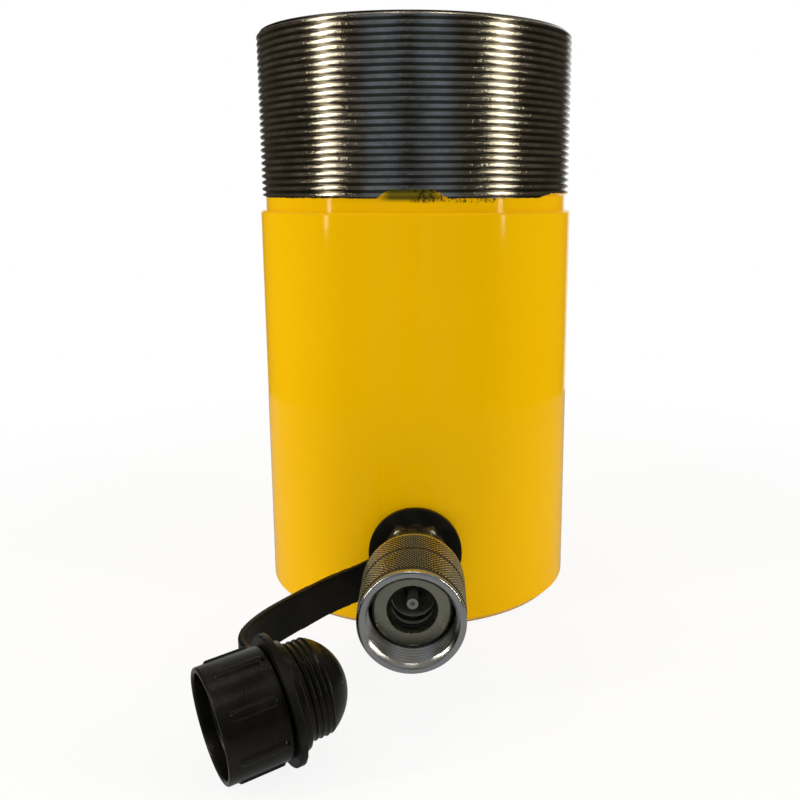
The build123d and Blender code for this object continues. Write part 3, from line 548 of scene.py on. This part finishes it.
def barrel_finish():
    """Gloss yellow paint up to the collar, smeared on its first turns, and bare oiled steel above, with
    painted shade in the thread's flanks and roots.
    """
    f = Finish("yellow paint and bare steel")
    radius, height = f.from_axis((0, 0, 0), UP)
    paint_line, paint_ripple, smear_rise, corner_rise = 0.1618, 0.0012, 0.0062, 0.0016
    ledge = shoulder_z * MM
    crest = collar_crest_r * MM
    # The angle from the coupler's side, which grows towards +X
    side = f.math("ARCTAN2", f.axis("X"), f.math("MULTIPLY", f.axis("Y"), -1.0))

    # Where the paint ends
    fine = f.noise(1.8, 4.0, 0.7, (1, 1, 2.5))
    paint_top = f.math("MULTIPLY_ADD", fine, paint_ripple, paint_line)
    smear = f.math("MULTIPLY", f.ramp(side, -0.22, -0.12), f.ramp(side, 0.1, 0.22, 1.0, 0.0))
    ragged = f.math("MULTIPLY", f.noise(3.2, 4.0, 0.8, (1, 1, 2)), smear)
    paint_top = f.math("MULTIPLY_ADD", ragged, smear_rise, paint_top)
    corner = f.math("MULTIPLY", f.ramp(side, 0.85, 1.0), f.ramp(side, 1.6, 1.9, 1.0, 0.0))
    paint_top = f.math("MULTIPLY_ADD", corner, corner_rise, paint_top)
    below_top = f.ramp(f.math("SUBTRACT", paint_top, height), -0.0001, 0.0001)
    outside = f.ramp(radius, 0.0605, 0.0609)
    off_base = f.ramp(height, 0.0002, 0.0006)
    paint = f.math("MULTIPLY", f.math("MULTIPLY", below_top, outside), off_base)

    # Dirt on the paint: a tarnished smear, dark flecks and drops on the shoulder
    tarnish = f.math("MULTIPLY", smear, f.ramp(height, 0.1608, 0.1626))
    fleck_side = f.math("MULTIPLY", f.ramp(side, -0.05, 0.05), f.ramp(side, 0.5, 0.62, 1.0, 0.0))
    fleck_zone = f.math("MULTIPLY", f.ramp(height, 0.1606, 0.1614), fleck_side)
    flecks = f.ramp(f.noise(1.5, 4.0, 0.8, (1, 1, 0.7)), 0.52, 0.55)
    over = f.ramp(height, ledge - 0.0005, ledge - 0.0001)
    shoulder = f.math("MULTIPLY", over, f.ramp(height, ledge + 0.0003, ledge + 0.0007, 1.0, 0.0))
    edge_drops = f.math("MULTIPLY", f.ramp(f.noise(2.5, 3.0, 0.6), 0.68, 0.72), shoulder)
    flecks = f.math("MAXIMUM", f.math("MULTIPLY", flecks, fleck_zone), f.math("MULTIPLY", edge_drops, 0.8))

    # Colours
    clouds = f.noise(60.0, 3.0)
    yellow = f.blend(clouds, (0.86, 0.485, 0.0003), (0.9, 0.52, 0.0006))
    yellow = f.blend(tarnish, yellow, (0.13, 0.11, 0.008))
    specks = f.ramp(f.noise(1.1, 2.0, 0.5), 0.74, 0.78)
    yellow = f.blend(f.math("MULTIPLY", specks, 0.3), yellow, (0.4, 0.24, 0.01))
    yellow = f.blend(flecks, yellow, (0.02, 0.018, 0.01))
    stains = f.noise(10.0, 4.0, 0.65, (1, 1, 1.5))
    scratches = f.noise(0.7, 4.0, 0.75, (1, 1, 6))
    burrs = f.ramp(f.cells(0.9), 0.05, 0.35, 1.0, 0.0)
    steel = f.blend(f.ramp(stains, 0.35, 0.7), (0.38, 0.35, 0.29), (0.58, 0.55, 0.48))
    # Painted shade: the steel darkens below the thread's crest, down its flanks and into its roots
    steel = f.blend(f.ramp(radius, crest - 0.00105, crest - 0.00015, 0.9, 0.0), steel, (0.06, 0.05, 0.035))
    machined = f.blend(f.ramp(radius, 0.0602, 0.0607), (0.42, 0.41, 0.4), steel)
    bare = f.math("SUBTRACT", 1.0, paint)
    steel_rough = f.ramp(stains, 0.3, 0.7, 0.1, 0.18)
    paint_rough = f.ramp(clouds, 0.3, 0.7, 0.06, 0.09)
    f.set(
        base_color=f.blend(paint, machined, yellow),
        metallic=bare,
        roughness=f.blend_value(paint, steel_rough, paint_rough),
        specular_ior_level=0.08,
    )

    # The thread's flanks are shaded nearly level, as a burnished thread gathers the lamps in two columns
    rim_start = (rim_z - rim_edge) * MM
    below_rim = f.ramp(height, rim_start - 0.0001, rim_start, 1.0, 0.0)
    threaded = f.math("MULTIPLY", f.math("MULTIPLY", bare, outside), below_rim)
    level = f.node("ShaderNodeCombineXYZ", 1.0, 1.0, f.blend_value(threaded, 1.0, 0.12)).outputs[0]
    normal = f.node("ShaderNodeNewGeometry").outputs["Normal"]
    burnished = f.node("ShaderNodeVectorMath", normal, level, operation="MULTIPLY").outputs[0]
    unit = f.node("ShaderNodeVectorMath", burnished, operation="NORMALIZE").outputs[0]
    f.feed(f.shader.inputs["Normal"], unit)
    f.bump(f.math("MULTIPLY", f.noise(2.6, 2.0, 0.4), paint), 0.01)
    f.bump(f.math("MULTIPLY", scratches, bare), 0.03)
    on_crest = f.ramp(radius, crest - 0.00055, crest - 0.00015)
    f.bump(f.math("MULTIPLY", burrs, f.math("MULTIPLY", bare, on_crest)), 0.03)
    return f


def plated_finish(name, dark, light, rough, lines):
    """Plate with a yellow-green tint on the knurl, painted shade darkening the knurl's valleys, and turning
    lines on the faces.
    """
    f = Finish(name)
    radius, along = f.from_axis(coupler_origin, COUPLER_AXIS)
    stains = f.noise(5.0, 4.0, 0.6)
    rear, front = rear_knurl[0] * MM, front_knurl[1] * MM
    in_knurl = f.ramp(along, rear - 0.0002, rear + 0.0002)
    in_knurl = f.math("MULTIPLY", in_knurl, f.ramp(along, front, front + 0.0003, 1.0, 0.0))
    in_knurl = f.math("MULTIPLY", in_knurl, f.ramp(radius, 0.0172, 0.01725))
    valley, tip = 0.01748, 0.01776
    # Painted shade: the knurl's colour goes from light at its tips to dark in its valleys
    valley_shade = f.ramp(radius, valley, tip, 1.0, 0.0)
    plate = f.blend(stains, dark, light)
    knurl_tint_and_valley_shade = f.blend(valley_shade, (0.9, 0.84, 0.54), (0.12, 0.1, 0.035))
    plate_rough = f.ramp(stains, 0.3, 0.7, rough * 0.75, rough * 1.25)
    f.set(
        base_color=f.blend(in_knurl, plate, knurl_tint_and_valley_shade),
        metallic=1.0,
        roughness=f.blend_value(in_knurl, plate_rough, 0.27),
    )
    f.bump(f.rings(radius, 0.25), lines)
    f.bump(f.noise(0.5, 2.0), 0.006)
    return f


def steel_finish(name, dark, light, rough, origin, axis, lines=0.35, depth=0.01):
    """Turned or ground steel with rings about its axis."""
    f = Finish(name)
    radius, along = f.from_axis(origin, axis)
    ring = f.rings(f.math("ADD", radius, along), lines)
    cloud = f.noise(9.0, 4.0, 0.6)
    shade = f.math("MULTIPLY_ADD", cloud, 0.7, f.math("MULTIPLY", ring, 0.3))
    f.set(
        base_color=f.blend(shade, dark, light),
        metallic=1.0,
        roughness=f.ramp(cloud, 0.3, 0.7, rough * 0.8, rough * 1.25),
    )
    f.bump(ring, depth)
    return f


def black_finish(name, colour, rough, grain, depth, gloss=0.5):
    """Black moulded plastic or rubber with a fine grain and patches of duller gloss."""
    f = Finish(name)
    cloud = f.noise(12.0, 4.0, 0.6)
    speck = f.cells(grain)
    pale = tuple(part * 1.9 + 0.004 for part in colour)
    f.set(
        base_color=f.blend(f.ramp(cloud, 0.35, 0.75), colour, pale),
        roughness=f.ramp(cloud, 0.25, 0.75, rough * 0.75, rough * 1.3),
        specular_ior_level=gloss,
    )
    f.bump(speck, depth)
    f.bump(f.noise(grain * 3, 3.0), depth * 1.5)
    return f


def strip_finish(name, first, second, rough):
    """Filled bearing strip or seal compound, with a fibrous mottle."""
    f = Finish(name)
    fibre = f.noise(1.5, 4.0, 0.7, (1, 1, 4))
    f.set(
        base_color=f.blend(fibre, first, second),
        roughness=f.ramp(fibre, 0.3, 0.7, rough * 0.85, rough * 1.15),
    )
    f.bump(fibre, 0.02)
    return f


# The pieces that scene.py makes, and what each piece is made of
barrel = make_barrel()
sleeve = make_sleeve()
cap = make_dust_cap()
strap = make_strap()

put_on(barrel_finish(), barrel)
put_on(plated_finish("bright plate", (0.4, 0.41, 0.41), (0.56, 0.57, 0.58), 0.2, 0.012), sleeve)
put_on(
    plated_finish("dull plate", (0.27, 0.27, 0.21), (0.4, 0.4, 0.32), 0.3, 0.018),
    nodes["coupler_body"],
    nodes["coupler_adapter"],
)
put_on(
    steel_finish("ground chrome", (0.5, 0.5, 0.51), (0.62, 0.62, 0.63), 0.16, (0, 0, 0), UP, 0.2, 0.004),
    nodes["plunger"],
)
put_on(
    steel_finish("turned steel", (0.3, 0.29, 0.28), (0.5, 0.49, 0.47), 0.32, (0, 0, 0), UP, 0.3, 0.02),
    nodes["saddle"],
    nodes["lower_spring_anchor"],
    nodes["upper_spring_anchor"],
)
put_on(
    steel_finish("poppet steel", (0.34, 0.33, 0.32), (0.5, 0.49, 0.47), 0.3, coupler_origin, COUPLER_AXIS),
    nodes["coupler_poppet"],
)
put_on(
    steel_finish("black oxide", (0.035, 0.035, 0.037), (0.09, 0.09, 0.092), 0.36, (0, 0, 0), UP),
    nodes["stop_ring"],
    nodes["lower_anchor_screw"],
    nodes["upper_anchor_screw"],
)
put_on(
    steel_finish("spring wire", (0.14, 0.14, 0.15), (0.28, 0.28, 0.29), 0.34, (0, 0, 0), UP, 0.6),
    nodes["return_spring"],
    nodes["poppet_spring"],
    nodes["saddle_retaining_ring"],
)
put_on(
    strip_finish("bearing strip", (0.42, 0.27, 0.12), (0.58, 0.4, 0.2), 0.6),
    nodes["guide_bearing"],
    nodes["piston_wear_ring"],
)
put_on(strip_finish("seal compound", (0.05, 0.14, 0.38), (0.08, 0.2, 0.48), 0.4), nodes["piston_u_cup"])
put_on(
    strip_finish("white slip plastic", (0.62, 0.6, 0.54), (0.76, 0.74, 0.68), 0.5),
    nodes["piston_backup_ring"],
    nodes["coupler_backup_ring"],
)
put_on(
    black_finish("seal rubber", (0.012, 0.012, 0.012), 0.45, 0.3, 0.01),
    nodes["rod_wiper"],
    nodes["coupler_o_ring"],
)
put_on(black_finish("cap plastic", (0.004, 0.0037, 0.003), 0.2, 0.35, 0.02, 0.16), cap)
put_on(black_finish("strap plastic", (0.005, 0.005, 0.0037), 0.4, 0.3, 0.012, 0.09), strap)

for node, width in (
    ("coupler_body", 0.2),
    ("coupler_adapter", 0.3),
    ("coupler_poppet", 0.12),
    ("stop_ring", 0.5),
    ("saddle", 0.25),
    ("plunger", 0.4),
    ("saddle_retaining_ring", 0.15),
):
    soften_edges(node, width)

# Floor and world

shadow_reach, floor_reach = 0.16, 0.4
dark_stripe_turn = radians(3.5)
fill_front, fill_side = 0.2, 0.6
WHITE = (1.0, 1.0, 1.0, 1.0)


def studio_surface(name, colour, shadow_part, mirrored):
    """White as the camera sees it and dimmer as metal does, with a part of real shading for the shadow.

    That part fades away from the object, so that the floor's edge doesn't show.
    """
    material = bpy.data.materials.new(name)
    material.use_nodes = True
    tree = material.node_tree

    def math(operation, *values):
        return wired(tree, "ShaderNodeMath", *values, operation=operation).outputs[0]

    shader = tree.nodes["Principled BSDF"]
    shader.inputs["Base Color"].default_value = (*colour, 1.0)
    shader.inputs["Roughness"].default_value = 0.9
    shader.inputs["Specular IOR Level"].default_value = 0.0
    ray = wired(tree, "ShaderNodeLightPath").outputs
    strength = math("MULTIPLY_ADD", ray["Is Glossy Ray"], mirrored - 1.0, 1.0)
    white = wired(tree, "ShaderNodeEmission", WHITE, strength)
    seen = math("MAXIMUM", ray["Is Camera Ray"], ray["Is Glossy Ray"])
    seen = math("MAXIMUM", seen, ray["Is Transmission Ray"])
    place = wired(tree, "ShaderNodeTexCoord").outputs["Object"]
    away = wired(tree, "ShaderNodeVectorMath", place, operation="LENGTH").outputs["Value"]
    fade = wired(tree, "ShaderNodeMapRange", away, shadow_reach, floor_reach, 1.0 - shadow_part, 1.0)
    fade.interpolation_type = "SMOOTHSTEP"
    share = math("MULTIPLY", seen, fade.outputs[0])
    mixed = wired(tree, "ShaderNodeMixShader", share, shader.outputs[0], white.outputs[0])
    tree.links.new(mixed.outputs[0], tree.nodes["Material Output"].inputs["Surface"])
    return material


def make_floor():
    """A round table top under the object."""
    mesh = bpy.data.meshes.new("floor")
    work = bmesh.new()
    bmesh.ops.create_circle(work, cap_ends=True, segments=128, radius=floor_reach)
    work.to_mesh(mesh)
    work.free()
    made = bpy.data.objects.new("floor", mesh)
    made.data.materials.append(studio_surface("pale floor", (0.95, 0.95, 0.95), 0.12, 0.28))
    bpy.context.scene.collection.objects.link(made)


def make_world():
    """White to the camera, a dim studio to what metal reflects, and a soft fill to everything else."""
    world = bpy.data.worlds.new("studio")
    bpy.context.scene.world = world
    world.use_nodes = True
    tree = world.node_tree
    tree.nodes.clear()

    def node(kind, *values, **settings):
        return wired(tree, kind, *values, **settings)

    def math(operation, *values):
        return node("ShaderNodeMath", *values, operation=operation).outputs[0]

    def ramp(value, stops):
        made = node("ShaderNodeValToRGB", value)
        elements = made.color_ramp.elements
        while len(elements) < len(stops):
            elements.new(0.5)
        for element, (place, colour) in zip(elements, stops):
            element.position = place
            element.color = (*colour, 1.0)
        return made.outputs[0]

    ray = node("ShaderNodeLightPath").outputs
    way = node("ShaderNodeSeparateXYZ", node("ShaderNodeTexCoord").outputs["Generated"]).outputs
    # 0 behind the object and 1 over the camera's shoulder
    turn = math("SUBTRACT", math("ARCTAN2", way["X"], way["Y"]), dark_stripe_turn)
    turn = math("DIVIDE", math("ABSOLUTE", turn), pi)
    around = ramp(
        turn,
        (
            (0.0, (1.0, 1.0, 1.0)),
            (0.1, (1.0, 1.0, 1.0)),
            (0.15, (0.07, 0.06, 0.045)),
            (0.8, (0.07, 0.06, 0.045)),
            (0.85, (0.2, 0.24, 0.31)),
            (0.955, (0.17, 0.21, 0.28)),
            (0.965, (0.045, 0.042, 0.035)),
        ),
    )
    above = ramp(way["Z"], ((0.35, (0, 0, 0)), (0.7, (1, 1, 1))))
    mixed = node("ShaderNodeMix", data_type="RGBA")
    tree.links.new(above, mixed.inputs[0])
    tree.links.new(around, mixed.inputs[6])
    mixed.inputs[7].default_value = (0.3, 0.28, 0.24, 1.0)
    front, side = [(value, value, value) for value in (fill_front, fill_side)]
    filled = ramp(turn, ((0.0, side), (0.6, side), (0.9, front)))
    strength = math("MULTIPLY", filled, math("MULTIPLY_ADD", way["X"], -0.15, 1.0))
    fill = node("ShaderNodeBackground", WHITE, strength)
    gloss = node("ShaderNodeBackground", mixed.outputs[2], 1.0)
    white = node("ShaderNodeBackground", WHITE, 1.0)
    lit = node("ShaderNodeMixShader", ray["Is Glossy Ray"], fill.outputs[0], gloss.outputs[0])
    seen = math("MAXIMUM", ray["Is Camera Ray"], ray["Is Transmission Ray"])
    final = node("ShaderNodeMixShader", seen, lit.outputs[0], white.outputs[0])
    node("ShaderNodeOutputWorld", final.outputs[0])


make_floor()
make_world()

# Lamps and camera


def area_light(name, place, aim, width, length, radiance, colour):
    """Hangs a soft rectangular light. Its power follows from its size and radiance."""
    data = bpy.data.lights.new(name, "AREA")
    data.shape = "RECTANGLE"
    data.size = width
    data.size_y = length
    data.energy = radiance * pi * width * length
    data.color = colour
    lamp = bpy.data.objects.new(name, data)
    bpy.context.scene.collection.objects.link(lamp)
    lamp.location = place
    lamp.rotation_euler = (Vector(aim) - Vector(place)).to_track_quat("-Z", "Y").to_euler()
    return lamp


# Two tall lamps beside the camera, low enough for the body's top edge to reflect their lower ends. Each is a
# thin tube and a soft box that lights but isn't reflected. Three panels hang from the ceiling.
warm = (1.0, 0.93, 0.78)
lamp_turn, lamp_distance, lamp_low, lamp_high = radians(64), 1.3, 0.1, 1.25
lamp_z, lamp_length = (lamp_low + lamp_high) / 2, lamp_high - lamp_low
tube_width, box_width, panel_width = 0.075, 0.11, 0.12
for side, name, box_radiance in ((-1, "left", 11.5), (1, "right", 8.5)):
    stand = (lamp_distance * sin(lamp_turn) * side, -lamp_distance * cos(lamp_turn), lamp_z)
    area_light(name + "_tube", stand, (0, 0, lamp_z), tube_width, lamp_length, 24, warm)
    soft = area_light(name + "_soft_box", stand, (0, 0, lamp_z), box_width, lamp_length, box_radiance, warm)
    soft.visible_glossy = False
    area_light(name + "_ceiling", (0.24 * side, 0.23, 1.72), (0, 0, 0.2), panel_width, panel_width, 12, warm)
area_light("front_ceiling", (0.0, -0.72, 1.5), (0, 0, 0.1), 0.5, panel_width, 10, warm)

# Camera, as fitted to the photograph's outlines
camera_data = bpy.data.cameras.new("camera")
camera = bpy.data.objects.new("camera", camera_data)
bpy.context.scene.collection.objects.link(camera)
camera_data.sensor_width = 36.0
camera_data.lens = 42.05
camera_data.shift_x = -0.0611
camera_data.shift_y = -0.0199
camera_data.clip_start = 0.01
camera_turn, camera_drop = radians(0.87), radians(11.85)
camera.location = (0.0076, -0.3963, 0.166)
look = Vector((sin(camera_turn) * cos(camera_drop), cos(camera_turn) * cos(camera_drop), -sin(camera_drop)))
camera.rotation_euler = look.to_track_quat("-Z", "Y").to_euler()
bpy.context.scene.camera = camera
bpy.context.scene.view_settings.view_transform = "Standard"
